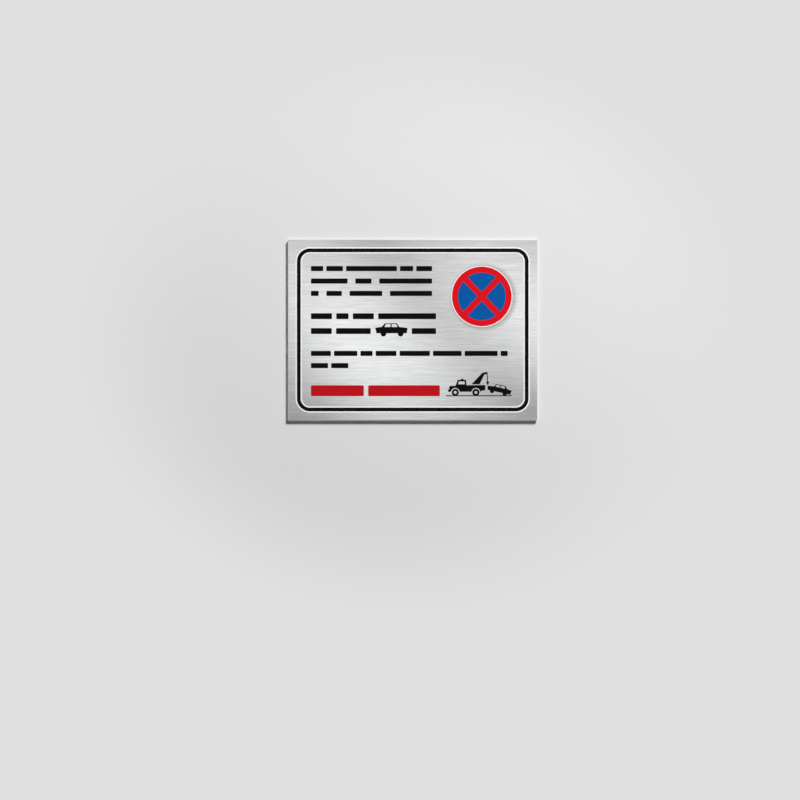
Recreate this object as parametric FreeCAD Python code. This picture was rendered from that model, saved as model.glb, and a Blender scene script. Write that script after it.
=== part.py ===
import FreeCAD, Part
import math
import os

# Parking sign: a brushed metal plate with a printed notice, held to a wall by three strips of foam tape.
# Millimetres. X runs to the reader's right, Z runs up, and Y runs from the reader into the wall.
# The origin is on the wall, behind the middle of the plate.

# Plate
PLATE_WIDTH = 290.0
PLATE_HEIGHT = 210.0
PLATE_THICKNESS = 3.0
EDGE_BREAK = 0.25

# Foam tape behind the plate
TAPE_THICKNESS = 1.0
TAPE_WIDTH = 19.0
TAPE_SIDE_INSET = 22.0
TAPE_EDGE_INSET = 14.0

# Printed film
FILM_THICKNESS = 0.15

# Border: a black line between two white keylines
BORDER_MARGIN = 10.3
BORDER_LINE = 4.3
BORDER_RADIUS = 15.0
KEYLINE = 1.6

# Round symbol: a red ring and cross over blue, with a white rim
SYMBOL_RADIUS = 34.7
SYMBOL_RIM = 1.0
SYMBOL_RING = 6.9
SYMBOL_BAR = 7.1
SYMBOL_BAR_ANGLE = 46.5
SYMBOL_TOP_GAP = 15.7
SYMBOL_SIDE_GAP = 14.4

# Rows of text, each word a plain bar
TEXT_MARGIN = 12.0
TEXT_TOP_GAP = 19.0
SMALL_HEIGHT = 5.9
LARGE_HEIGHT = 6.8
HEADLINE_HEIGHT = 12.6
SMALL_COLUMN_GAP = 22.1
LARGE_COLUMN_GAP = 17.5
WIDE_ROW_GAP = 20.0
TIGHT_SPACE = 3.6
WORD_SPACE = 5.0
WIDE_SPACE = 9.0
HEADLINE_RISE = 19.7
HEADLINE_GAP = 7.1

# Car pictogram
CAR_LENGTH = 37.7
CAR_DROP = 6.3

# Tow-away pictogram
TRUCK_LENGTH = 43.4
TOWED_CAR_LENGTH = 28.6
TOW_ANGLE = 12.5
TOW_GAP = 2.7
ROAD_LINE = 1.4
ROAD_LEAD = 2.3
ROAD_TRAIL = 0.3
ROAD_RISE = 13.3
ROAD_SIDE_GAP = 15.1

# Relative steps from each row of text down to the next, the headline last
ROW_STEPS = (14.5, 14.4, 26.5, 17.3, 26.0, 14.2, 29.2)

# Relative lengths of the words in each row. CAR keeps the car pictogram's place.
CAR = "car"
ROW_1 = (14, 19, 58, 15, 18)
ROW_2 = (43, 19, 62)
ROW_3 = (9, 18, 38, 49)
ROW_4 = (24, 14, 24, 66)
ROW_5 = (24, 40, CAR, 28)
ROW_6 = (23, 27, 14, 24, 35, 33, 38, 8)
ROW_7 = (20, 20)
HEADLINE = (62, 84)

# Share of its width that the short last row fills
ROW_7_FILL = 0.19

# Outlines of the pictograms, as shares of the vehicle's length, from its nose at the bottom of its wheels
CAR_BODY_SHARES = (
    (0.000, 0.265),
    (0.117, 0.285),
    (0.205, 0.294),
    (0.295, 0.405),
    (0.680, 0.405),
    (0.716, 0.345),
    (0.753, 0.291),
    (0.858, 0.279),
    (1.000, 0.265),
    (1.000, 0.212),
    (0.977, 0.100),
    (0.040, 0.100),
    (0.028, 0.194),
)
CAR_FRONT_WINDOW_SHARES = ((0.290, 0.290), (0.327, 0.382), (0.478, 0.382), (0.478, 0.290))
CAR_REAR_WINDOW_SHARES = ((0.514, 0.290), (0.514, 0.382), (0.654, 0.382), (0.697, 0.290))
CAR_AXLE_SHARES = (0.261, 0.790)
CAR_WHEEL_RADIUS_SHARE = 0.086

TRUCK_BODY_SHARES = (
    (0.000, 0.112),
    (0.000, 0.166),
    (0.032, 0.170),
    (0.034, 0.248),
    (0.056, 0.271),
    (0.193, 0.271),
    (0.214, 0.300),
    (0.264, 0.432),
    (0.489, 0.432),
    (0.498, 0.288),
    (1.002, 0.292),
    (1.002, 0.158),
    (0.905, 0.140),
    (0.865, 0.116),
)
CAB_WINDOW_SHARES = ((0.273, 0.313), (0.294, 0.390), (0.450, 0.390), (0.453, 0.313))
TRUCK_AXLE_SHARES = (0.198, 0.749)
TRUCK_WHEEL_RADIUS_SHARE = 0.096
HUB_RADIUS_SHARE = 0.040
ARCH_RADIUS_SHARE = 0.120
BEACON_SHARES = ((0.347, 0.425), (0.358, 0.465), (0.406, 0.465), (0.419, 0.425))
BOOM_SHARES = (
    (0.631, 0.315),
    (0.911, 0.609),
    (0.975, 0.635),
    (1.062, 0.645),
    (1.062, 0.585),
    (0.987, 0.584),
    (0.953, 0.528),
    (0.849, 0.315),
)
CABLE_SHARES = ((1.038, 0.610), (1.061, 0.610), (1.078, 0.292), (1.055, 0.292))
HOOK_SHARES = (1.0655, 0.361)
HOOK_RADIUS_SHARE = 0.037
CORNER_SHARE = 0.010

# Share of the road line's thickness that the wheels sink into it
WHEEL_SINK_SHARE = 0.8

# Planes from the wall outwards
PANEL_BACK = -TAPE_THICKNESS
PANEL_FRONT = PANEL_BACK - PLATE_THICKNESS

# Inner edges of the border's black line, which everything inside is placed from
INNER_RIGHT = PLATE_WIDTH / 2 - BORDER_MARGIN - BORDER_LINE
INNER_TOP = PLATE_HEIGHT / 2 - BORDER_MARGIN - BORDER_LINE

# Symbol's centre, and the box around its rim
RIM_RADIUS = SYMBOL_RADIUS + SYMBOL_RIM
SYMBOL_X = INNER_RIGHT - SYMBOL_SIDE_GAP - RIM_RADIUS
SYMBOL_Z = INNER_TOP - SYMBOL_TOP_GAP - RIM_RADIUS
SYMBOL_LEFT = SYMBOL_X - RIM_RADIUS
SYMBOL_BOTTOM = SYMBOL_Z - RIM_RADIUS

# Tow-away pictogram's places along the road
ROAD_RIGHT = INNER_RIGHT - ROAD_SIDE_GAP
ROAD_TOP = -INNER_TOP + ROAD_RISE + ROAD_LINE
WHEEL_BOTTOM = ROAD_TOP - WHEEL_SINK_SHARE * ROAD_LINE
TOWED_REACH = TOWED_CAR_LENGTH * math.cos(math.radians(TOW_ANGLE))
TOWED_X = ROAD_RIGHT - ROAD_TRAIL - TOWED_REACH
TRUCK_X = TOWED_X - TOW_GAP - TRUCK_LENGTH
ROAD_LEFT = TRUCK_X - ROAD_LEAD

TEXT_LEFT = -INNER_RIGHT + TEXT_MARGIN


def at(x, z):
    """A point on the plate's front face."""
    return FreeCAD.Vector(x, PANEL_FRONT, z)


def disc(x, z, radius):
    """A round patch of film."""
    return Part.makeCylinder(radius, FILM_THICKNESS, at(x, z), FreeCAD.Vector(0, -1, 0))


def patch(corners, radius):
    """A patch of film with straight sides, its corners rounded to a radius that is limited by the sides."""
    points = [at(x, z) for x, z in corners]
    count = len(points)
    arcs = []
    for i, corner in enumerate(points):
        back = points[i - 1] - corner
        ahead = points[(i + 1) % count] - corner
        half_angle = back.getAngle(ahead) / 2
        cut = min(radius / math.tan(half_angle), 0.45 * min(back.Length, ahead.Length))
        arc_radius = cut * math.tan(half_angle)
        back.normalize()
        ahead.normalize()
        middle = back + ahead
        middle.normalize()
        reach = arc_radius / math.sin(half_angle) - arc_radius
        arcs.append(Part.Arc(corner + back * cut, corner + middle * reach, corner + ahead * cut))
    edges = []
    for i, arc in enumerate(arcs):
        edges.append(arc.toShape())
        edges.append(Part.LineSegment(arc.EndPoint, arcs[(i + 1) % count].StartPoint).toShape())
    return Part.Face(Part.Wire(edges)).extrude(FreeCAD.Vector(0, -FILM_THICKNESS, 0))


def bar(left, right, bottom, top):
    """An upright rectangular patch of film with square corners."""
    corner = FreeCAD.Vector(left, PANEL_FRONT - FILM_THICKNESS, bottom)
    return Part.makeBox(right - left, FILM_THICKNESS, top - bottom, corner)


def group(shapes):
    """All solids of some shapes as one piece."""
    solids = [solid for shape in shapes for solid in shape.Solids]
    return solids[0] if len(solids) == 1 else Part.makeCompound(solids)


def panel():
    """The plate, with the edges round its front and back broken."""
    corner = FreeCAD.Vector(-PLATE_WIDTH / 2, PANEL_FRONT, -PLATE_HEIGHT / 2)
    plate = Part.makeBox(PLATE_WIDTH, PLATE_THICKNESS, PLATE_HEIGHT, corner)
    rims = [edge for edge in plate.Edges if edge.BoundBox.YLength < PLATE_THICKNESS / 2]
    return plate.makeChamfer(EDGE_BREAK, rims)


def adhesive_strip(middle_z):
    """One strip of foam tape between the wall and the plate."""
    length = PLATE_WIDTH - 2 * TAPE_SIDE_INSET
    corner = FreeCAD.Vector(-length / 2, PANEL_BACK, middle_z - TAPE_WIDTH / 2)
    return Part.makeBox(length, TAPE_THICKNESS, TAPE_WIDTH, corner)


def border_outline(inset):
    """A rounded rectangle, set in from the outside of the border's black line, or out if inset is below 0."""
    right = PLATE_WIDTH / 2 - BORDER_MARGIN - inset
    top = PLATE_HEIGHT / 2 - BORDER_MARGIN - inset
    corners = ((-right, -top), (-right, top), (right, top), (right, -top))
    return patch(corners, BORDER_RADIUS - inset)


def border():
    """The border's three lines, side by side."""
    edges = (-KEYLINE, 0, BORDER_LINE, BORDER_LINE + KEYLINE)
    outlines = [border_outline(inset) for inset in edges]
    names = ("border_outer_keyline", "border_line", "border_inner_keyline")
    return {name: group([outlines[i].cut(outlines[i + 1])]) for i, name in enumerate(names)}


def cross_bar(angle):
    """One arm of the symbol's cross, turned about the symbol's centre."""
    arm = bar(-SYMBOL_RADIUS, SYMBOL_RADIUS, -SYMBOL_BAR / 2, SYMBOL_BAR / 2)
    arm.rotate(at(0, 0), FreeCAD.Vector(0, -1, 0), angle)
    arm.translate(FreeCAD.Vector(SYMBOL_X, 0, SYMBOL_Z))
    return arm


def symbol():
    """The round symbol: its rim, its ring with the cross, and the four fields between them."""
    red = disc(SYMBOL_X, SYMBOL_Z, SYMBOL_RADIUS)
    inside = disc(SYMBOL_X, SYMBOL_Z, SYMBOL_RADIUS - SYMBOL_RING)
    fields = inside.cut([cross_bar(SYMBOL_BAR_ANGLE), cross_bar(-SYMBOL_BAR_ANGLE)]).Solids
    pieces = {
        "symbol_rim": group([disc(SYMBOL_X, SYMBOL_Z, RIM_RADIUS).cut(red)]),
        "symbol_ring_and_cross": group([red.cut(fields)]),
    }
    sides = {"top": (0, 1), "right": (1, 0), "bottom": (0, -1), "left": (-1, 0)}
    for side, (x, z) in sides.items():
        outermost = max(fields, key=lambda field: field.CenterOfMass.dot(FreeCAD.Vector(x, 0, z)))
        pieces["symbol_field_" + side] = group([outermost])
    return pieces


def spread(words, space, left, right):
    """The left and right end of each word, so that the words and the spaces between them fill a row."""
    fixed = CAR_LENGTH * words.count(CAR) + space * (len(words) - 1)
    relative = sum(word for word in words if word != CAR)
    scale = (right - left - fixed) / relative
    ends = []
    for word in words:
        length = CAR_LENGTH if word == CAR else word * scale
        ends.append((left, left + length))
        left += length + space
    return ends


def text_row(words, space, height, right, middle_z):
    """The bars of one row of text, and the place kept for the car pictogram, if the row has one."""
    bars = []
    car_x = None
    for word, (start, end) in zip(words, spread(words, space, TEXT_LEFT, right)):
        if word == CAR:
            car_x = start
        else:
            bars.append(bar(start, end, middle_z - height / 2, middle_z + height / 2))
    return group(bars), car_x


def row_middles():
    """The height of each row's middle: the rows fill the space between the first row and the headline."""
    first = INNER_TOP - TEXT_TOP_GAP
    last = -INNER_TOP + HEADLINE_RISE
    scale = (first - last) / sum(ROW_STEPS)
    return [first - scale * sum(ROW_STEPS[:i]) for i in range(len(ROW_STEPS) + 1)]


def wide_right(top):
    """Where a wide row ends: below the symbol it runs on under it, and beside the symbol it stops short."""
    under = top < SYMBOL_BOTTOM - SMALL_HEIGHT
    return INNER_RIGHT - WIDE_ROW_GAP if under else SYMBOL_LEFT - SMALL_COLUMN_GAP


def text():
    """All rows of text, and the car pictogram in its place among them."""
    middles = row_middles()
    small_right = SYMBOL_LEFT - SMALL_COLUMN_GAP
    large_right = SYMBOL_LEFT - LARGE_COLUMN_GAP
    full_right = wide_right(middles[5] + SMALL_HEIGHT / 2)
    short_right = TEXT_LEFT + ROW_7_FILL * (full_right - TEXT_LEFT)
    rows = (
        (ROW_1, TIGHT_SPACE, SMALL_HEIGHT, small_right),
        (ROW_2, WIDE_SPACE, SMALL_HEIGHT, small_right),
        (ROW_3, WIDE_SPACE, SMALL_HEIGHT, small_right),
        (ROW_4, WORD_SPACE, LARGE_HEIGHT, large_right),
        (ROW_5, WORD_SPACE, LARGE_HEIGHT, large_right),
        (ROW_6, TIGHT_SPACE, SMALL_HEIGHT, full_right),
        (ROW_7, TIGHT_SPACE, SMALL_HEIGHT, short_right),
    )
    pieces = {}
    for number, (words, space, height, right) in enumerate(rows, 1):
        middle = middles[number - 1]
        pieces[f"notice_line_{number}"], car_x = text_row(words, space, height, right, middle)
        if car_x is not None:
            pieces["car_pictogram"] = group([car(car_x, middle - CAR_DROP, CAR_LENGTH)])
    headline_right = ROAD_LEFT - HEADLINE_GAP
    pieces["headline"], _ = text_row(HEADLINE, WORD_SPACE, HEADLINE_HEIGHT, headline_right, middles[7])
    return pieces


def placed(points, x, z, length):
    """Outline points that are given as shares of a vehicle's length, in millimetres."""
    return [(x + length * along, z + length * up) for along, up in points]


def shape_of(points, x, z, length):
    """A patch of film in a part of a vehicle's outline, its corners lightly rounded."""
    return patch(placed(points, x, z, length), CORNER_SHARE * length)


def car(x, z, length):
    """A saloon car from the side, with its left end at x and its wheels standing on z."""
    body = shape_of(CAR_BODY_SHARES, x, z, length)
    windows = [shape_of(window, x, z, length) for window in (CAR_FRONT_WINDOW_SHARES, CAR_REAR_WINDOW_SHARES)]
    radius = CAR_WHEEL_RADIUS_SHARE * length
    wheels = [disc(x + along * length, z + radius, radius) for along in CAR_AXLE_SHARES]
    return body.cut(windows).fuse(wheels).removeSplitter()


def tow_truck():
    """A tow truck from the side: its body over two wheels, and its boom with the cable and hook."""
    place = (TRUCK_X, WHEEL_BOTTOM, TRUCK_LENGTH)
    axle_z = WHEEL_BOTTOM + TRUCK_WHEEL_RADIUS_SHARE * TRUCK_LENGTH
    axles = [TRUCK_X + along * TRUCK_LENGTH for along in TRUCK_AXLE_SHARES]
    arches = [disc(x, axle_z, ARCH_RADIUS_SHARE * TRUCK_LENGTH) for x in axles]
    hubs = [disc(x, axle_z, HUB_RADIUS_SHARE * TRUCK_LENGTH) for x in axles]
    tyres = [disc(x, axle_z, TRUCK_WHEEL_RADIUS_SHARE * TRUCK_LENGTH) for x in axles]
    body = shape_of(TRUCK_BODY_SHARES, *place).fuse(shape_of(BEACON_SHARES, *place)).removeSplitter()
    body = body.cut([shape_of(CAB_WINDOW_SHARES, *place)] + arches)
    hook_x, hook_z = placed([HOOK_SHARES], *place)[0]
    hook = disc(hook_x, hook_z, HOOK_RADIUS_SHARE * TRUCK_LENGTH)
    boom = shape_of(BOOM_SHARES, *place).fuse([shape_of(CABLE_SHARES, *place), hook]).removeSplitter()
    return [body, boom] + [tyre.cut(hub) for tyre, hub in zip(tyres, hubs)]


def towed_car():
    """The towed car, turned end for end, lifted at its left end and rolling on its right wheel."""
    shape = car(0, 0, TOWED_CAR_LENGTH).mirror(at(0, 0), FreeCAD.Vector(1, 0, 0))
    rolling_axle = at(-CAR_AXLE_SHARES[0] * TOWED_CAR_LENGTH, CAR_WHEEL_RADIUS_SHARE * TOWED_CAR_LENGTH)
    shape.rotate(rolling_axle, FreeCAD.Vector(0, 1, 0), TOW_ANGLE)
    shape.translate(FreeCAD.Vector(TOWED_X - shape.BoundBox.XMin, 0, WHEEL_BOTTOM))
    return shape


def tow_away():
    """The tow-away pictogram: the truck, the towed car, and the road that their wheels stand in."""
    truck = tow_truck()
    towed = towed_car()
    road = bar(ROAD_LEFT, ROAD_RIGHT, ROAD_TOP - ROAD_LINE, ROAD_TOP)
    return {
        "tow_truck_pictogram": group(truck),
        "towed_car_pictogram": group([towed]),
        "road_line": group([road.cut(truck + [towed])]),
    }


def sign():
    """Every piece of the sign by name."""
    outer_strip_z = PLATE_HEIGHT / 2 - TAPE_EDGE_INSET - TAPE_WIDTH / 2
    pieces = {
        "sign_panel": panel(),
        "adhesive_strip_top": adhesive_strip(outer_strip_z),
        "adhesive_strip_middle": adhesive_strip(0),
        "adhesive_strip_bottom": adhesive_strip(-outer_strip_z),
    }
    pieces.update(border())
    pieces.update(symbol())
    pieces.update(text())
    pieces.update(tow_away())
    return pieces


os.makedirs("parts", exist_ok=True)
for name, shape in sign().items():
    shape.exportStep(f"parts/{name}.step")
    print(name, len(shape.Solids), "solids", round(shape.Volume, 2), "mm3")
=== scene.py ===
# %% [markdown]
# # A parking sign of brushed aluminium
#
# The sign is a flat plate of brushed aluminium with a printed notice on its front and three strips of foam
# tape on its back. The plate, the print and the tape are already modelled at their real size, and they come
# in here as a fixed frame. What is left for this file is how they look: the brushing and the slow light and
# dark of the metal, the satin ink, the soft edges of the printed bars, and the foam.
#
# Everything below is in metres, with X to the reader's right, Z up, and Y from the reader into the wall.

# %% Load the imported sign
import math

import bpy
import numpy as np
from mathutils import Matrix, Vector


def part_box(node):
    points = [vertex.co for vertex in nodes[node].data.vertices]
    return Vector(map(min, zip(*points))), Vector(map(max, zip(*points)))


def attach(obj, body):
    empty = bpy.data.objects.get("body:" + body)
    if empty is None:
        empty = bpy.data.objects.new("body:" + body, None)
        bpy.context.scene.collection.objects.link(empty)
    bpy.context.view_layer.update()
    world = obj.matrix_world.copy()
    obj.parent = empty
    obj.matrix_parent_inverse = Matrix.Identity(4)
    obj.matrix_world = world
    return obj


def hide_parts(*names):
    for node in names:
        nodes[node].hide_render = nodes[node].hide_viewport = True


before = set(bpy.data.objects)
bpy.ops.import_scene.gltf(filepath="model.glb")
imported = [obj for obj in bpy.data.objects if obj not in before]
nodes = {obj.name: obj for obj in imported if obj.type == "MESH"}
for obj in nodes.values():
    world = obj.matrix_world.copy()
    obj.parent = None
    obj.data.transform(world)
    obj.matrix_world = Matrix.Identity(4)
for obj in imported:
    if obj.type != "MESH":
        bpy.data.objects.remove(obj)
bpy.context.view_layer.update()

print("nodes", len(nodes))

# %% [markdown]
# ## Measures
#
# Sizes are easier to judge in millimetres, so they are written in millimetres and multiplied by MM. Places
# could be written down too, but here they are read from the pieces themselves. If the plate or the symbol
# is made in another size, the finish follows.

# %% Read the places that the finish follows
MM = 0.001

plate_low, plate_high = (np.array(corner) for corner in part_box("sign_panel"))
rim_low, rim_high = (np.array(corner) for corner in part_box("symbol_rim"))
symbol_middle = (rim_low + rim_high) / 2
symbol_radius = (rim_high[0] - rim_low[0]) / 2
print("plate mm", ((plate_high - plate_low) / MM).round(2))
print("symbol radius mm", round(symbol_radius / MM, 2))

# %% [markdown]
# ## Colours, nodes and materials
#
# Colours are picked as sRGB hex values, the way a screen shows them, but a shader works in linear light.
# One function converts them. A second one adds a node with its settings and links, which keeps each
# material short enough to read as a recipe. A third starts a material: one Principled shader, which covers
# metal, ink, foam and paint alike, and the place of each point in the frame. Patterns that read this place
# keep their real size on every piece. An unwrapped map could do that as well, but flat faces don't need
# one.

# %% Three helpers for materials
def linear(code):
    """A hex colour in linear light: c / 12.92 for dark channels, and else ((c + 0.055) / 1.055) ** 2.4."""
    channel = np.array([int(code[i:i + 2], 16) for i in (1, 3, 5)]) / 255
    light = np.where(channel < 0.04045, channel / 12.92, ((channel + 0.055) / 1.055) ** 2.4)
    return (*light.tolist(), 1.0)


def add(tree, kind, settings, inputs):
    """Adds one node. Each input is a value, or the node or socket that feeds it.

    Inputs go by name, or by number where a node has several of one name."""
    node = tree.nodes.new(kind)
    for name, value in settings.items():
        setattr(node, name, value)
    for name, value in inputs.items():
        if isinstance(value, bpy.types.Node):
            value = value.outputs[0]
        if isinstance(value, bpy.types.NodeSocket):
            tree.links.new(value, node.inputs[name])
        else:
            node.inputs[name].default_value = value
    return node


def new_material(name):
    """A material with its tree, its Principled shader and the place of each point in metres."""
    material = bpy.data.materials.new(name)
    material.use_nodes = True
    tree = material.node_tree
    place = add(tree, "ShaderNodeTexCoord", {}, {}).outputs["Object"]
    return material, tree, tree.nodes["Principled BSDF"], place


print("middle grey in linear light", [round(c, 3) for c in linear("#808080")])

# %% [markdown]
# ## Brushing
#
# Brushed metal is rolled sheet that an abrasive belt has scratched in one direction. Each scratch is
# hair-thin and as long as the grit stayed sharp, and scratches of all sizes lie over each other. They could
# be a picture that is laid on the plate, but noise needs no picture, never repeats and stays sharp from any
# distance. Noise that is stretched along X gives one size of scratch. Three sizes together give the look:
# broad bands that show from across a drive, lines that show at arm's length, and hairs that only show close
# up. Real hairs are finer than the finest layer here, which is drawn as coarse as it needs to be to show at
# all. Lengths and heights are in millimetres, and a weight is how much light and dark a layer brings.

# %% Scratches as stretched noise
BRUSH_LAYERS = {
    "bands": {"length": 90.0, "height": 1.3, "weight": 0.09},
    "lines": {"length": 32.0, "height": 0.7, "weight": 0.55},
    "hairs": {"length": 13.0, "height": 0.25, "weight": 0.50},
}
SCRATCH_DETAIL = 2.0


def streaks(tree, place, length, height):
    """Noise around 0.5 whose cells are length mm along X and height mm across."""
    scale = (1 / (length * MM), 1 / (height * MM), 1 / (height * MM))
    stretched = add(tree, "ShaderNodeMapping", {}, {"Vector": place, "Scale": scale})
    noise = {"Vector": stretched, "Scale": 1.0, "Detail": SCRATCH_DETAIL}
    return add(tree, "ShaderNodeTexNoise", {}, noise)


def brushing(tree, place):
    """All sizes of scratch added up: 1 plus each layer's weight times how far its noise is from 0.5."""
    total = 1.0
    for layer in BRUSH_LAYERS.values():
        noise = streaks(tree, place, layer["length"], layer["height"])
        terms = {0: noise, 1: layer["weight"], 2: total}
        total = add(tree, "ShaderNodeMath", {"operation": "MULTIPLY_ADD"}, terms)
    middle = sum(layer["weight"] for layer in BRUSH_LAYERS.values()) / 2
    return add(tree, "ShaderNodeMath", {"operation": "SUBTRACT"}, {0: total, 1: middle})


print("scratch layers", ", ".join(BRUSH_LAYERS))

# %% [markdown]
# ## Slow light and dark, painted
#
# A brushed plate never looks evenly grey. It smears whatever stands around it into wide, soft pools that
# lie at a slant. Cards and lamps round the plate could bring them about, but they would move as the reader
# walks past, and they are part of this sign's look from a step away. So they are painted into the metal's
# colour: painted reflections, lighter and darker pools of painted light and shade.
# Each pool is an ellipse that is strongest in its middle and fades to nothing at its rim. A Mapping node of
# the Texture type moves a point into the pool's own frame, where the rim is at a distance of 1. Middles and
# radii are in millimetres, turns in degrees.

# %% Pools of light and shade
METAL_LEVEL = 0.445
# Painted reflections: each pool is light or shade painted into the front's grey.
POOLS = {
    "left light": {"middle": (-78, -16), "radii": (317, 156), "turn": -40, "gain": 0.487},
    "right light": {"middle": (118, 30), "radii": (230, 111), "turn": -36, "gain": 0.289},
    "slanted shade": {"middle": (32, 17), "radii": (220, 48), "turn": -46, "gain": -0.090},
    "left corner shade": {"middle": (-130, -71), "radii": (249, 81), "turn": -63, "gain": -0.145},
    "lower shade": {"middle": (45, -102), "radii": (320, 73), "turn": -1, "gain": -0.138},
}


def pool(tree, place, middle, radii, turn, gain):
    """gain times a smooth step that falls from 1 in the ellipse's middle to 0 at its rim."""
    own_frame = add(tree, "ShaderNodeMapping", {"vector_type": "TEXTURE"}, {
        "Vector": place,
        "Location": (middle[0] * MM, 0, middle[1] * MM),
        "Rotation": (0, -math.radians(turn), 0),
        "Scale": (radii[0] * MM, 1, radii[1] * MM),
    })
    distance = add(tree, "ShaderNodeVectorMath", {"operation": "LENGTH"}, {0: own_frame})
    fade = {"Value": distance.outputs["Value"], "To Min": gain, "To Max": 0.0}
    return add(tree, "ShaderNodeMapRange", {"interpolation_type": "SMOOTHSTEP"}, fade)


def painted_light_and_shade(tree, place):
    """The metal's level plus every pool of painted light and shade."""
    total = METAL_LEVEL
    for shape in POOLS.values():
        here = pool(tree, place, **shape)
        total = add(tree, "ShaderNodeMath", {"operation": "ADD"}, {0: here, 1: total})
    return total


print("pools", ", ".join(POOLS))

# %% [markdown]
# ## The symbol's printed shadow
#
# The round symbol is printed with a soft shadow round it, as if it stood proud of the plate and the light
# came from the upper left. Lifting the symbol off the plate would give a real shadow, but one that follows
# the lamp. This one is ink as well, so it is worked out from the symbol's own middle and radius: the shadow
# is a disc of the same size, shifted to the lower right, that fades across its edge. Shift and fade are in
# millimetres, and the fade runs from inside the disc's edge to outside it.

# %% Soft shadow beside the symbol
SHADOW_SHIFT = (2.2, -0.9)
SHADOW_FADE = (-1.2, 5.7)
SHADOW_DEPTH = 0.37


def symbol_shadow(tree, place):
    """A factor that is 1 away from the symbol and 1 minus the depth under its shifted disc."""
    across, up = SHADOW_SHIFT
    middle = (symbol_middle[0] + across * MM, plate_low[1], symbol_middle[2] + up * MM)
    distance = add(tree, "ShaderNodeVectorMath", {"operation": "DISTANCE"}, {0: place, 1: middle})
    return add(tree, "ShaderNodeMapRange", {"interpolation_type": "SMOOTHSTEP"}, {
        "Value": distance.outputs["Value"],
        "From Min": symbol_radius + SHADOW_FADE[0] * MM,
        "From Max": symbol_radius + SHADOW_FADE[1] * MM,
        "To Min": 1 - SHADOW_DEPTH,
        "To Max": 1.0,
    })


print("shadow depth", SHADOW_DEPTH)

# %% [markdown]
# ## The sides of the plate
#
# The plate is one sheet with four finishes. Its front is brushed. Its cut sides are dull and rough, with
# the short marks of the saw. Where the sides meet the faces the edge is broken with a file, which leaves a
# thin line all round that is coloured lighter than the front: partly the file's polish, partly a painted
# highlight. The back is left as rolled, with faint lines. Four materials could be given to the faces one by
# one, but the side that a point is on shows in its normal, so one material can tell them apart by itself:
# how much the normal looks towards or away from the reader is 1 on the faces, about 0.7 on the broken edges
# and 0 on the sides.

# %% Tell the sides apart
FACE = 0.9
BROKEN_EDGE = 0.7
EDGE_SPREAD = 0.2
SIDE = 0.5


def sides_of_plate(tree):
    """A mask of 0 or 1 for each of front, back, broken edges and cut sides, from the normal's Y."""
    normal = add(tree, "ShaderNodeTexCoord", {}, {}).outputs["Normal"]
    away = add(tree, "ShaderNodeSeparateXYZ", {}, {0: normal}).outputs["Y"]
    flat = add(tree, "ShaderNodeMath", {"operation": "ABSOLUTE"}, {0: away})
    front = add(tree, "ShaderNodeMath", {"operation": "LESS_THAN"}, {0: away, 1: -FACE})
    back = add(tree, "ShaderNodeMath", {"operation": "GREATER_THAN"}, {0: away, 1: FACE})
    edge = {0: flat, 1: BROKEN_EDGE, 2: EDGE_SPREAD}
    broken = add(tree, "ShaderNodeMath", {"operation": "COMPARE"}, edge)
    cut = add(tree, "ShaderNodeMath", {"operation": "LESS_THAN"}, {0: flat, 1: SIDE})
    return front, back, broken, cut


print("normals count as a broken edge's at", BROKEN_EDGE, "give or take", EDGE_SPREAD)

# %% [markdown]
# ## The metal
#
# A metal has no colour under its gloss: the base colour is the colour of its reflection. Clean aluminium
# sends back most of the light. The saw leaves so many small hollows that much of it is lost in them, and
# the file presses them shut again. The broken edges' light grey is partly that polish and partly a painted
# highlight. So each side has its own grey. Where two greys are given, the marks on that side run between
# them, and marks are given as their length along X and their height, in millimetres.

# %% The grey of each side
ROLLED_MARKS = (90.0, 2.2)
ROLLED_GREY = (0.50, 0.62)
SAWN_MARKS = (1.2, 0.3)
SAWN_GREY = (0.16, 0.32)
# The broken edges' grey: partly the file's polish, partly a painted highlight.
BURNISHED_HIGHLIGHT_GREY = 0.75


def metal_grey(tree, place, front, back, broken):
    """The reflected share on each side. On the front: painted light and shade x the symbol's shadow x
    brushing.
    """
    shade = {0: painted_light_and_shade(tree, place), 1: symbol_shadow(tree, place)}
    shaded = add(tree, "ShaderNodeMath", {"operation": "MULTIPLY"}, shade)
    brushed = add(tree, "ShaderNodeMath", {"operation": "MULTIPLY"}, {0: shaded, 1: brushing(tree, place)})
    low, high = SAWN_GREY
    saw = {"Value": streaks(tree, place, *SAWN_MARKS), "To Min": low, "To Max": high}
    sawn = add(tree, "ShaderNodeMapRange", {}, saw)
    low, high = ROLLED_GREY
    roll = {"Value": streaks(tree, place, *ROLLED_MARKS), "To Min": low, "To Max": high}
    rolled = add(tree, "ShaderNodeMapRange", {}, roll)
    grey = add(tree, "ShaderNodeMix", {}, {"Factor": back, "A": sawn, "B": rolled})
    grey = add(tree, "ShaderNodeMix", {}, {"Factor": front, "A": grey, "B": brushed})
    # The broken edges take the light grey that is partly a painted highlight.
    return add(tree, "ShaderNodeMix", {}, {"Factor": broken, "A": grey, "B": BURNISHED_HIGHLIGHT_GREY})


print("greys: rolled", ROLLED_GREY, "sawn", SAWN_GREY, "burnished", BURNISHED_HIGHLIGHT_GREY)

# %% [markdown]
# Roughness says how far a reflection is smeared. The brushing smears it across the scratches and hardly
# along them, which is what the anisotropic setting does. On a flat plate that setting smears along X unless
# it is turned, so it gets a quarter turn. The relief of the scratches is a hundredth of a millimetre deep,
# far too fine for a mesh, so it is a bump. The whole sheet has a very faint cool tint, which is aluminium's
# own.

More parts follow.
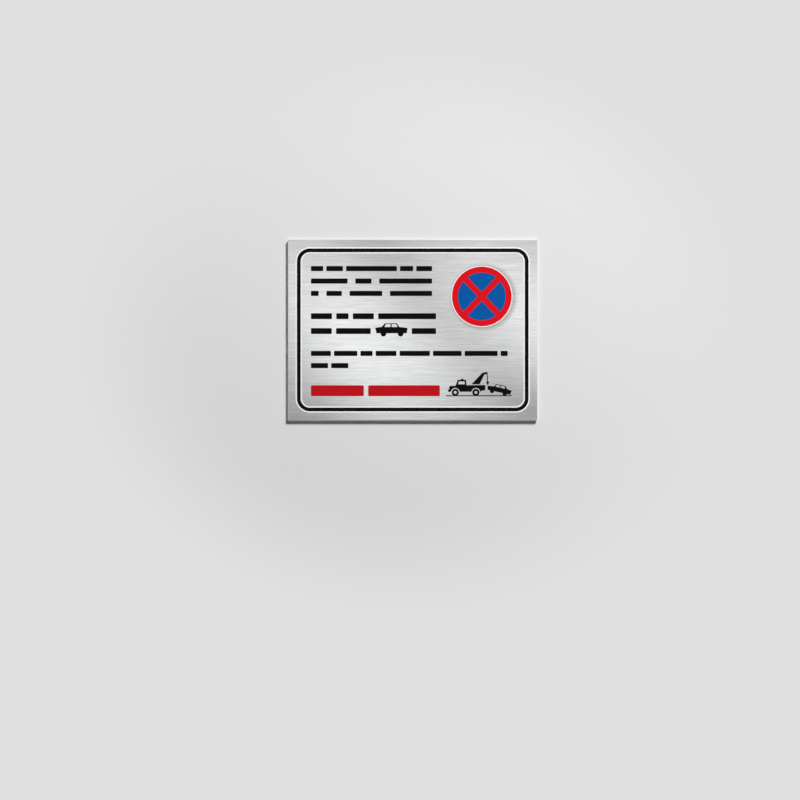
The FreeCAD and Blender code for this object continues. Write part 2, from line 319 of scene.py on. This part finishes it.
# %% Brushed aluminium
METAL_TINT = "#FDFFFE"
ANISOTROPY = 0.6
QUARTER_TURN = 0.25
SATIN_MARKS = (30.0, 0.8)
SATIN_ROUGHNESS = (0.30, 0.46)
ROLLED_DULLER = 0.18
SAWN_ROUGHNESS = 0.55
SCRATCH_MARKS = (18.0, 0.5)
SCRATCH_DEPTH = 0.01
SCRATCH_STRENGTH = 0.25


def brushed_aluminium():
    """Brushed on the front, as rolled on the back, sawn on the sides and burnished on the broken edges,
    where the light grey is partly a painted highlight.
    """
    material, tree, shader, place = new_material("brushed_aluminium")
    front, back, broken, cut = sides_of_plate(tree)
    grey = metal_grey(tree, place, front, back, broken)
    tint = linear(METAL_TINT)[:3]
    tinted = add(tree, "ShaderNodeVectorMath", {"operation": "MULTIPLY"}, {0: grey, 1: tint})
    tree.links.new(tinted.outputs[0], shader.inputs["Base Color"])

    low, high = SATIN_ROUGHNESS
    satin = {"Value": streaks(tree, place, *SATIN_MARKS), "To Min": low, "To Max": high}
    gloss = add(tree, "ShaderNodeMapRange", {}, satin)
    duller = {0: back, 1: ROLLED_DULLER, 2: gloss}
    gloss = add(tree, "ShaderNodeMath", {"operation": "MULTIPLY_ADD"}, duller)
    gloss = add(tree, "ShaderNodeMix", {}, {"Factor": cut, "A": gloss, "B": SAWN_ROUGHNESS})
    tree.links.new(gloss.outputs[0], shader.inputs["Roughness"])

    relief = streaks(tree, place, *SCRATCH_MARKS)
    scratches = {"Height": relief, "Strength": SCRATCH_STRENGTH, "Distance": SCRATCH_DEPTH * MM}
    bump = add(tree, "ShaderNodeBump", {}, scratches)
    tree.links.new(bump.outputs[0], shader.inputs["Normal"])
    shader.inputs["Metallic"].default_value = 1.0
    shader.inputs["Anisotropic"].default_value = ANISOTROPY
    shader.inputs["Anisotropic Rotation"].default_value = QUARTER_TURN
    return material


plate = nodes["sign_panel"]
plate.data.materials.clear()
plate.data.materials.append(brushed_aluminium())
print("plate material", plate.data.materials[0].name)

# %% [markdown]
# ## The ink
#
# The notice is screen ink, cured to a satin film. Ink that is thick enough to cover metal has a faint
# orange peel, a colour that is never quite even, and a few of the plate's brush lines that still show
# through it as relief. It could be one picture over the whole plate, but then its edges would be as coarse
# as the picture. Here each field of ink is a piece of its own, its colour is plain, and one recipe makes
# them all. Black ink on a pale scene turns grey as soon as it reflects much, and this ink is matt enough to
# stay black, so its specular level is low. Sizes are in millimetres.

# %% Satin ink in each colour
INKS = {
    "white_film": "#FDFDFC",
    "black_film": "#040404",
    "red_film": "#E5131E",
    "headline_film": "#C6141E",
    "blue_film": "#035BA8",
    "grey_film": "#5C5C5C",
}
MOTTLE_SIZE = 4.0
MOTTLE_DETAIL = 3.0
THIN_SHARE = 0.9
THIN_LIFT = 0.002
INK_ROUGHNESS = (0.36, 0.50)
PEEL_SIZE = 0.9
SHOWN_MARKS = (20.0, 0.5)
INK_DEPTH = 0.008
INK_STRENGTH = 0.25
INK_SPECULAR = 0.05


def satin_ink(name, code):
    """Even colour with a faint mottle, orange peel, and brush lines that show through as relief.

    Where the ink is thinnest its colour is THIN_SHARE of the full one, plus THIN_LIFT."""
    material, tree, shader, place = new_material(name)
    grain = {"Vector": place, "Scale": 1 / (MOTTLE_SIZE * MM), "Detail": MOTTLE_DETAIL}
    mottle = add(tree, "ShaderNodeTexNoise", {}, grain)
    full = np.array(linear(code))
    thin = np.append(full[:3] * THIN_SHARE + THIN_LIFT, 1.0)
    colour = add(tree, "ShaderNodeMix", {"data_type": "RGBA"}, {0: mottle, 6: thin, 7: full})
    tree.links.new(colour.outputs["Result"], shader.inputs["Base Color"])
    low, high = INK_ROUGHNESS
    gloss = add(tree, "ShaderNodeMapRange", {}, {"Value": mottle, "To Min": low, "To Max": high})
    tree.links.new(gloss.outputs[0], shader.inputs["Roughness"])

    dimples = {"Vector": place, "Scale": 1 / (PEEL_SIZE * MM), "Detail": 1.0}
    peel = add(tree, "ShaderNodeTexNoise", {}, dimples)
    lines = streaks(tree, place, *SHOWN_MARKS)
    relief = add(tree, "ShaderNodeMath", {"operation": "ADD"}, {0: peel, 1: lines})
    film = {"Height": relief, "Strength": INK_STRENGTH, "Distance": INK_DEPTH * MM}
    bump = add(tree, "ShaderNodeBump", {}, film)
    tree.links.new(bump.outputs[0], shader.inputs["Normal"])
    shader.inputs["Specular IOR Level"].default_value = INK_SPECULAR
    return material


inks = {name: satin_ink(name, code) for name, code in INKS.items()}
print("inks", ", ".join(inks))

# %% [markdown]
# The symbol and the pictograms have their right shape already, so they only take their ink.

# %% Ink the printed pieces
INKED = {
    "symbol_rim": "white_film",
    "symbol_ring_and_cross": "red_film",
    "symbol_field_top": "blue_film",
    "symbol_field_right": "blue_film",
    "symbol_field_bottom": "blue_film",
    "symbol_field_left": "blue_film",
    "car_pictogram": "black_film",
    "tow_truck_pictogram": "black_film",
    "towed_car_pictogram": "black_film",
    "road_line": "grey_film",
}
for node, ink in INKED.items():
    nodes[node].data.materials.clear()
    nodes[node].data.materials.append(inks[ink])
print("inked", len(INKED))

# %% [markdown]
# ## Slabs
#
# The pieces that are made new here are all slabs: a rounded rectangle seen from the front, with a profile
# through its thickness. A cube with a Bevel modifier comes close, but it has one radius for all its edges.
# So a slab is a surface of two parameters. One runs round the rectangle, and the other runs through the
# thickness, where the profile says how far the outline is set in and how deep it lies. Both are numpy
# arrays, so a whole row of slabs is worked out at once and goes into a single mesh.

# %% A slab as rings of points
def outline(low, high, radius, inset, steps):
    """Round a rectangle: each corner's centre plus (radius - inset) times (cos, sin) of a quarter turn.

    low and high are arrays of x and z, one row for each slab. The result is slabs by points by 2."""
    turn = np.linspace(0, math.pi / 2, steps) + np.arange(4)[:, None] * math.pi / 2
    side = np.array([(1, 1), (-1, 1), (-1, -1), (1, -1)])
    middle, reach = (low + high) / 2, (high - low) / 2 - radius
    centre = middle[:, None, None] + side[None, :, None] * reach[:, None, None]
    ring = (radius - inset) * np.stack([np.cos(turn), np.sin(turn)], -1)
    return (centre + ring).reshape(len(low), -1, 2)


def slabs(low, high, radius, profile, steps=8):
    """Rings of points: slabs by rings by points by x, y, z. The profile is pairs of inset and y."""
    rings = []
    for inset, depth in profile:
        flat = outline(low, high, radius, inset, steps)
        rings.append(np.stack([flat[..., 0], np.full(flat.shape[:2], depth), flat[..., 1]], -1))
    return np.stack(rings, 1)


square = outline(np.array([[-1, -1]]), np.array([[1, 1]]), 0.5, 0.0, 3)[0]
print("a square with three steps in each corner:", len(square), "points, the first at", square[0])

# %% [markdown]
# The rings become a mesh when their points are numbered and each point is joined to its neighbour on the
# same ring and on the next one. Whether the faces of a closed mesh point outwards is easy to overlook in a
# picture. Its volume tells, because it comes out negative when they point inwards.

# %% A skin over the rings, and its volume
def skin(name, rings, capped=True):
    """A closed mesh over rings of points: quads between neighbouring rings, then a flat face at each end,
    or quads from the last ring to the first if it isn't capped.

    Each ring runs anticlockwise to a reader in front, and the first ring is the furthest back."""
    count, depth, around, _ = rings.shape
    index = np.arange(count * depth * around).reshape(count, depth, around)
    first, second = index, np.roll(index, -1, 1)
    ends = []
    if capped:
        first, second = first[:, :-1], second[:, :-1]
        ends = index[:, 0, ::-1].tolist() + index[:, -1].tolist()
    corners = (first, np.roll(first, -1, 2), np.roll(second, -1, 2), second)
    quads = np.stack(corners, -1).reshape(-1, 4)
    mesh = bpy.data.meshes.new(name)
    mesh.from_pydata(rings.reshape(-1, 3).tolist(), [], quads.tolist() + ends)
    smooth = np.arange(len(mesh.polygons)) < len(quads)
    mesh.polygons.foreach_set("use_smooth", smooth)
    piece = bpy.data.objects.new(name, mesh)
    bpy.context.scene.collection.objects.link(piece)
    return piece


def points_of(piece):
    """The points of a piece's mesh, one row of x, y, z for each."""
    points = np.empty(len(piece.data.vertices) * 3)
    piece.data.vertices.foreach_get("co", points)
    return points.reshape(-1, 3)


def volume(piece):
    """Volume in cubic mm: a sixth of the sum of each triangle's a . (b x c), above 0 if faces point out."""
    mesh = piece.data
    mesh.calc_loop_triangles()
    corners = np.empty(len(mesh.loop_triangles) * 3, int)
    mesh.loop_triangles.foreach_get("vertices", corners)
    a, b, c = points_of(piece)[corners.reshape(-1, 3)].transpose(1, 0, 2)
    return float((a * np.cross(b, c)).sum() / 6 / MM ** 3)


print("plate volume mm3", round(volume(plate)))

# %% [markdown]
# ## The rows of the notice
#
# Each row is a line of plain bars. Ink flows a little before it cures, so a printed bar has small round
# corners and an edge that rolls over. The bars that come with the frame are square, and softening their
# meshes would first need their loose triangles joined, so they are made anew. Their ends can be read off
# their own points, because a row of boxes has two values of x for each box. Corners and the roll are in
# millimetres.

# %% Bars with soft corners
ROW = {"corner": 0.9, "ink": "black_film"}
ROWS = {f"notice_line_{number}": ROW for number in range(1, 8)}
ROWS["headline"] = {"corner": 1.6, "ink": "headline_film"}
EDGE_ROLL = 0.06


def bar_ends(node):
    """Lowest and highest x and z of each bar in a row, from the sorted x values of its points."""
    x, _, z = points_of(nodes[node]).T
    left, right = np.unique(x.round(6)).reshape(-1, 2).T
    low = np.stack([left, np.full_like(left, z.min())], -1)
    high = np.stack([right, np.full_like(right, z.max())], -1)
    return low, high


def ink_profile(node):
    """Up the film's side and over a quarter circle: inset and y of each ring, from the plate outwards."""
    front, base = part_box(node)[0][1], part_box(node)[1][1]
    roll = EDGE_ROLL * MM
    angle = np.linspace(0, math.pi / 2, 4)
    rolled = [(roll * (1 - math.cos(a)), front + roll * (1 - math.sin(a))) for a in angle]
    return [(0.0, base)] + rolled


def take_place(piece, node, ink):
    """Inks a new piece and puts it on the sign in the node's place."""
    piece.data.materials.append(inks[ink])
    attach(piece, "root")
    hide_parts(node)


for row, look in ROWS.items():
    low, high = bar_ends(row)
    bars = skin(row + "_bars", slabs(low, high, look["corner"] * MM, ink_profile(row)))
    take_place(bars, row, look["ink"])
    print(bars.name, "bars", len(low), "volume mm3", round(volume(bars), 2))

# %% [markdown]
# ## The border
#
# The border is three lines of ink, side by side: black between two white keylines. Each is a band that runs
# round a rounded rectangle, so its surface is the ink's profile carried along that path: up the outer side,
# across, and down the inner side, and then the last ring joins the first. The frame's own border has
# corners of short straight pieces, which show when the plate is seen close up. These have enough steps to
# look round. The corner's radius is read off the frame, where the straight top ends short of the side.

# %% Bands round the border
BORDER = {
    "border_outer_keyline": "white_film",
    "border_line": "black_film",
    "border_inner_keyline": "white_film",
}
BORDER_STEPS = 33
LEVEL_WITHIN = 0.001


def corner_radius(node):
    """How far the straight top of a rounded outline stops short of the outline's right side."""
    x, _, z = points_of(nodes[node]).T
    top = x[z > z.max() - LEVEL_WITHIN * MM]
    return x.max() - top.max()


def band(node, width):
    """One line of the border: the film's profile up the outer side, and the same mirrored down the inner.

    One more ring beside each rolled edge keeps its shading from spreading over the flat top."""
    low, high = (np.array(corner)[None, ::2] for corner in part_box(node))
    rise = ink_profile(node)
    rise.append((2 * EDGE_ROLL * MM, rise[-1][1]))
    fall = [(width - inset, depth) for inset, depth in reversed(rise)]
    return slabs(low, high, corner_radius(node), rise + fall, BORDER_STEPS)


right_edges = [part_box(node)[1][0] for node in BORDER]
keyline, line = right_edges[0] - right_edges[1], right_edges[1] - right_edges[2]
for (node, ink), width in zip(BORDER.items(), (keyline, line, keyline)):
    ring = skin(node + "_band", band(node, width), capped=False)
    take_place(ring, node, ink)
    print(ring.name, "width mm", round(width / MM, 2), "volume mm3", round(volume(ring), 2))

# %% [markdown]
# ## Foam tape
#
# Double-sided mounting tape is a strip of closed-cell foam between two thin films of adhesive. The foam is
# squeezed between the plate and the wall, so its cut sides swell between the films, and the knife has
# opened cells along them. A simulation could squeeze it, but the form is simple enough to write down: the
# side is a parabola through the thickness, which is widest half way, and the opened cells are pits that are
# pressed into it at random, always from the same seed. Pits need points all along the side, and they need
# to know which way is out.

# %% An outline with even points, and the way out of it
def evenly(points, spacing):
    """The same closed outline with points that are spacing apart, by interpolation along its length."""
    closed = np.vstack([points, points[:1]])
    along = np.append(0, np.cumsum(np.hypot(*np.diff(closed, axis=0).T)))
    wanted = np.linspace(0, along[-1], round(along[-1] / spacing), endpoint=False)
    return np.stack([np.interp(wanted, along, closed[:, i]) for i in (0, 1)], -1)


def outward(points):
    """Unit vector that points out of a closed outline at each of its points, which run anticlockwise."""
    ahead = np.roll(points, -1, 0) - np.roll(points, 1, 0)
    return np.stack([ahead[:, 1], -ahead[:, 0]], -1) / np.linalg.norm(ahead, axis=1)[:, None]


print("out of the square at its first point", outward(evenly(square, 0.1))[0].round(2))

# %% [markdown]
# A strip is one closed mesh for the foam and a thin slab for each film. All sizes are in millimetres.

# %% Foam strips with swollen, open-celled sides
STRIPS = ["adhesive_strip_top", "adhesive_strip_middle", "adhesive_strip_bottom"]
STRIP_CORNER = 0.5
CORNER_STEPS = 4
FILM = 0.08
SWELL = 0.3
FOAM_RINGS = 9
CELL = 0.45
PIT = 0.12


def foam_core(node, seed):
    """Rings through the foam: the outline is set in by swell x (2 t - 1) ** 2, plus the pits, at share t."""
    low, high = (np.array(corner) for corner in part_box(node))
    flat = outline(low[None, ::2], high[None, ::2], STRIP_CORNER * MM, 0.0, CORNER_STEPS)[0]
    flat = evenly(flat, CELL * MM)
    share = np.linspace(0, 1, FOAM_RINGS)
    swell = SWELL * MM * (2 * share - 1) ** 2
    pits = PIT * MM * np.random.default_rng(seed).random((len(share), len(flat))) ** 3
    inset = swell[:, None] + pits * (4 * share * (1 - share))[:, None]
    ring = flat[None] - outward(flat)[None] * inset[..., None]
    depth = high[1] - FILM * MM - share * (high[1] - low[1] - 2 * FILM * MM)
    rings = np.stack([ring[..., 0], np.broadcast_to(depth[:, None], inset.shape), ring[..., 1]], -1)
    return rings[None]


def adhesive_films(node):
    """The two films, one on each face of the foam, as a pair of thin slabs."""
    low, high = (np.array(corner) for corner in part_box(node))
    inset = SWELL * MM
    pair = []
    for back in (high[1], low[1] + FILM * MM):
        profile = [(inset, back), (inset, back - FILM * MM)]
        pair.append(slabs(low[None, ::2], high[None, ::2], STRIP_CORNER * MM, profile))
    return np.concatenate(pair)


print("points round a strip", foam_core(STRIPS[0], 0).shape[2])

# %% [markdown]
# Foam is matt and dark, with cells of about a third of a millimetre that show as a speckle. There are far
# too many to model, and a Voronoi texture has the same round cells, side by side. The adhesive is a clear
# acrylic, still glossy, with the long waves that its liner has left in it. Sizes are in millimetres.

# %% Foam and adhesive
FOAM_DARK, FOAM_PALE = "#292A2B", "#464749"
FOAM_CELL = 0.35
FOAM_STRENGTH = 0.6
FOAM_DEPTH = 0.08
FOAM_ROUGHNESS = 0.9
FOAM_SPECULAR = 0.3
TACK_DARK, TACK_PALE = "#303133", "#3F4042"
WAVE_SIZE = 3.5
WAVE_DETAIL = 3.0
WAVE_STRENGTH = 0.5
WAVE_DEPTH = 0.1
TACK_ROUGHNESS = (0.18, 0.38)


def closed_cell_foam():
    """Dark polyethylene foam: a Voronoi speckle in colour and in relief."""
    material, tree, shader, place = new_material("closed_cell_foam")
    cells = add(tree, "ShaderNodeTexVoronoi", {}, {"Vector": place, "Scale": 1 / (FOAM_CELL * MM)})
    colours = {0: cells, 6: linear(FOAM_DARK), 7: linear(FOAM_PALE)}
    colour = add(tree, "ShaderNodeMix", {"data_type": "RGBA"}, colours)
    tree.links.new(colour.outputs["Result"], shader.inputs["Base Color"])
    pores = {"Height": cells, "Strength": FOAM_STRENGTH, "Distance": FOAM_DEPTH * MM}
    bump = add(tree, "ShaderNodeBump", {}, pores)
    tree.links.new(bump.outputs[0], shader.inputs["Normal"])
    shader.inputs["Roughness"].default_value = FOAM_ROUGHNESS
    shader.inputs["Specular IOR Level"].default_value = FOAM_SPECULAR
    return material


def acrylic_adhesive():
    """Clear tack over dark foam: glossy, with shallow waves."""
    material, tree, shader, place = new_material("acrylic_adhesive")
    swing = {"Vector": place, "Scale": 1 / (WAVE_SIZE * MM), "Detail": WAVE_DETAIL}
    waves = add(tree, "ShaderNodeTexNoise", {}, swing)
    colours = {0: waves, 6: linear(TACK_DARK), 7: linear(TACK_PALE)}
    colour = add(tree, "ShaderNodeMix", {"data_type": "RGBA"}, colours)
    tree.links.new(colour.outputs["Result"], shader.inputs["Base Color"])
    low, high = TACK_ROUGHNESS
    gloss = add(tree, "ShaderNodeMapRange", {}, {"Value": waves, "To Min": low, "To Max": high})
    tree.links.new(gloss.outputs[0], shader.inputs["Roughness"])
    liner = {"Height": waves, "Strength": WAVE_STRENGTH, "Distance": WAVE_DEPTH * MM}
    bump = add(tree, "ShaderNodeBump", {}, liner)
    tree.links.new(bump.outputs[0], shader.inputs["Normal"])
    return material


foam, adhesive = closed_cell_foam(), acrylic_adhesive()
print("tape materials", foam.name, adhesive.name)

# %% [markdown]
# The foam takes the place of the frame's plain strip, and the films ride along with it. Each strip has its
# own seed, or all three would have the same pits.

# %% Make the strips
for seed, strip in enumerate(STRIPS):
    core = skin(strip + "_foam", foam_core(strip, seed))
    core.data.materials.append(foam)
    films = skin(strip + "_films", adhesive_films(strip))
    films.data.materials.append(adhesive)
    for piece in (core, films):
        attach(piece, "root")
    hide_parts(strip)
    print(core.name, "faces", len(core.data.polygons), "volume mm3", round(volume(core), 1))

# %% [markdown]
# ## Stage
#
# The sign hangs, so the stage is a pale wall behind it and a pale floor below. Both are single flat sheets,
# in matt paint without a sheen, and both fade into the background's colour a short way out, so that neither
# an edge nor a horizon shows.

# %% Sheets and paint for the stage
BACKGROUND = "#E0E0E0"


def stage_sheet(name, corners, material):
    """One flat four-cornered sheet that isn't part of the sign."""
    mesh = bpy.data.meshes.new(name)
    mesh.from_pydata(corners, [], [(0, 1, 2, 3)])
    mesh.materials.append(material)
    sheet = bpy.data.objects.new(name, mesh)
    bpy.context.scene.collection.objects.link(sheet)
    return sheet


def matt_paint(name, colour):
    """A new material whose shader is even, fully rough and without a sheen."""
    material, tree, shader, place = new_material(name)
    shader.inputs["Base Color"].default_value = linear(colour)
    shader.inputs["Roughness"].default_value = 1.0
    shader.inputs["Specular IOR Level"].default_value = 0.0
    return material, tree, shader, place


print("background in linear light", [round(c, 3) for c in linear(BACKGROUND)])

# %% [markdown]
# ## The wall
#
# The wall catches the shadow that tells how far the plate stands off. A solid wall would hide the sign from
# behind and would be a lid on its back to the rays of light. So this one shows only to the camera and only
# from the front. Its radii are in metres, its gap in millimetres, and the fade is in shares of the radii.

# %% Wall
WALL_COLOUR = "#E5E5E5"
WALL_GAP = 0.4
WALL_RADII = (0.42, 0.35)
WALL_FADE = (0.5, 1.0)


def wall_paint():
    """Matt paint that only the camera sees, only from the front and only in an ellipse round the sign."""
    material, tree, shader, place = matt_paint("wall_paint", WALL_COLOUR)
    camera_ray = add(tree, "ShaderNodeLightPath", {}, {}).outputs["Is Camera Ray"]
    behind = add(tree, "ShaderNodeNewGeometry", {}, {}).outputs["Backfacing"]
    clamped = {"operation": "SUBTRACT", "use_clamp": True}
    front = add(tree, "ShaderNodeMath", clamped, {0: camera_ray, 1: behind})
    ellipse = {"Vector": place, "Scale": (WALL_RADII[0], 1, WALL_RADII[1])}
    own_frame = add(tree, "ShaderNodeMapping", {"vector_type": "TEXTURE"}, ellipse)
    distance = add(tree, "ShaderNodeVectorMath", {"operation": "LENGTH"}, {0: own_frame})
    near = add(tree, "ShaderNodeMapRange", {"interpolation_type": "SMOOTHSTEP"}, {
        "Value": distance.outputs["Value"],
        "From Min": WALL_FADE[0],
        "From Max": WALL_FADE[1],
        "To Min": 1.0,
        "To Max": 0.0,
    })
    seen = add(tree, "ShaderNodeMath", {"operation": "MULTIPLY"}, {0: front, 1: near})
    clear = add(tree, "ShaderNodeBsdfTransparent", {}, {})
    mix = add(tree, "ShaderNodeMixShader", {}, {0: seen, 1: clear, 2: shader})
    tree.links.new(mix.outputs[0], tree.nodes["Material Output"].inputs["Surface"])
    return material


wall_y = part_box(STRIPS[0])[1][1] + WALL_GAP * MM
w, h = WALL_RADII
wall_corners = [(-w, wall_y, -h), (w, wall_y, -h), (w, wall_y, h), (-w, wall_y, h)]
stage_sheet("wall", wall_corners, wall_paint())
print("wall behind the plate by mm", round((wall_y - plate_high[1]) / MM, 2))

# %% [markdown]
# ## The floor
#
# The floor keeps the sign from hanging in nothing when it is seen from above. A small disc would show its
# rim, so the sheet is wide and turns into plain light of the background's colour a short way out. To the
# rays that carry soft light it is plain light everywhere, and weaker, as the world is. Otherwise it would
# light the sign from below. All its sizes are in metres.

# %% Floor
FLOOR_COLOUR = "#BCBCBC"
FLOOR_LEVEL = -0.75
FLOOR_RADIUS = 12.0
FLOOR_FADE = (0.4, 1.1)
WORLD_LEVEL = 0.10


def seen_rays(tree):
    """1 for rays from the camera, in reflections and through clear matter, and 0 for those of soft light."""
    path = add(tree, "ShaderNodeLightPath", {}, {})
    total = path.outputs["Is Camera Ray"]
    for kind in ("Is Glossy Ray", "Is Transmission Ray"):
        total = add(tree, "ShaderNodeMath", {"operation": "MAXIMUM"}, {0: total, 1: path.outputs[kind]})
    return total


def world_level(tree):
    """1 where the background is seen, and the world's lower level where it only gives soft light."""
    levels = {"Value": seen_rays(tree), "To Min": WORLD_LEVEL, "To Max": 1.0}
    return add(tree, "ShaderNodeMapRange", {}, levels)


def floor_paint():
    """Matt paint near the sign, and plain light of the background's colour further out."""
    material, tree, shader, place = matt_paint("floor_paint", FLOOR_COLOUR)
    middle = (0, 0, FLOOR_LEVEL)
    distance = add(tree, "ShaderNodeVectorMath", {"operation": "DISTANCE"}, {0: place, 1: middle})
    far = {"Value": distance.outputs["Value"], "From Min": FLOOR_FADE[0], "From Max": FLOOR_FADE[1]}
    fade = add(tree, "ShaderNodeMapRange", {"interpolation_type": "SMOOTHSTEP"}, far)
    unseen = add(tree, "ShaderNodeMath", {"operation": "SUBTRACT"}, {0: 1.0, 1: seen_rays(tree)})
    share = add(tree, "ShaderNodeMath", {"operation": "MAXIMUM"}, {0: fade, 1: unseen})
    glow = {"Color": linear(BACKGROUND), "Strength": world_level(tree)}
    plain = add(tree, "ShaderNodeEmission", {}, glow)
    mix = add(tree, "ShaderNodeMixShader", {}, {0: share, 1: shader, 2: plain})
    tree.links.new(mix.outputs[0], tree.nodes["Material Output"].inputs["Surface"])
    return material


r, z = FLOOR_RADIUS, FLOOR_LEVEL
stage_sheet("floor", [(-r, -r, z), (r, -r, z), (r, r, z), (-r, r, z)], floor_paint())
print("floor below the plate by m", round(plate_low[2] - FLOOR_LEVEL, 3))

# %% [markdown]
# ## Light
#
# Soft light from all round comes from the world. The camera and the metal's reflections see it as the pale
# grey of the background. Everything else gets it much weaker, which leaves room for a soft lamp from the
# upper right. Its shadow below the plate and to the left is what the eye reads the plate's thickness from.
# A sun would cast one too, but with an edge as sharp as on a clear day. A second lamp behind the sign
# lights its back, and doesn't reach the front.

# %% World and lamps
LAMPS = {
    "front_lamp": {"place": (1.7, -2.6, 3.0), "size": 1.2, "watts": 262.0},
    "back_lamp": {"place": (1.6, 2.9, 2.4), "size": 2.4, "watts": 120.0},
}


def lamp(name, place, size, watts):
    """A round area lamp that points at the plate's middle and isn't seen itself."""
    data = bpy.data.lights.new(name, "AREA")
    data.shape = "DISK"
    data.size = size
    data.energy = watts
    piece = bpy.data.objects.new(name, data)
    piece.location = place
    aim = (plate_low + plate_high) / 2 - np.array(place)
    pitch = math.atan2(math.hypot(aim[0], aim[1]), -aim[2])
    piece.rotation_euler = (pitch, 0, math.atan2(-aim[0], aim[1]))
    piece.visible_camera = False
    bpy.context.scene.collection.objects.link(piece)
    print(name, "to plate m", round(float(np.linalg.norm(aim)), 2))


world = bpy.data.worlds.new("soft_world")
world.use_nodes = True
ambient = world.node_tree.nodes["Background"]
ambient.inputs["Color"].default_value = linear(BACKGROUND)
world.node_tree.links.new(world_level(world.node_tree).outputs[0], ambient.inputs["Strength"])
bpy.context.scene.world = world

for name, settings in LAMPS.items():
    lamp(name, **settings)

# %% [markdown]
# ## Camera
#
# The view is square on, from far enough away that nothing converges. The sign sits a little above and to
# the right of the picture's middle. An orthographic camera would do here as well, but with a long lens the
# plate keeps its depth when the view turns. The camera's distance follows from the width that the picture
# has to span. Widths and places are in metres, the lens and the sensor in millimetres.

# %% Camera square on to the sign
PICTURE_WIDTH = 0.9306
PICTURE_MIDDLE = (-0.0148, -0.0815)
LENS = 100.0
SENSOR = 36.0

camera_data = bpy.data.cameras.new("camera")
camera_data.lens = LENS
camera_data.sensor_width = SENSOR
camera = bpy.data.objects.new("camera", camera_data)
distance = PICTURE_WIDTH * LENS / SENSOR
camera.location = (PICTURE_MIDDLE[0], plate_low[1] - distance, PICTURE_MIDDLE[1])
camera.rotation_euler = (math.pi / 2, 0, 0)
bpy.context.scene.collection.objects.link(camera)
bpy.context.scene.camera = camera
bpy.context.scene.view_settings.view_transform = "Standard"
print("camera distance m", round(distance, 3))
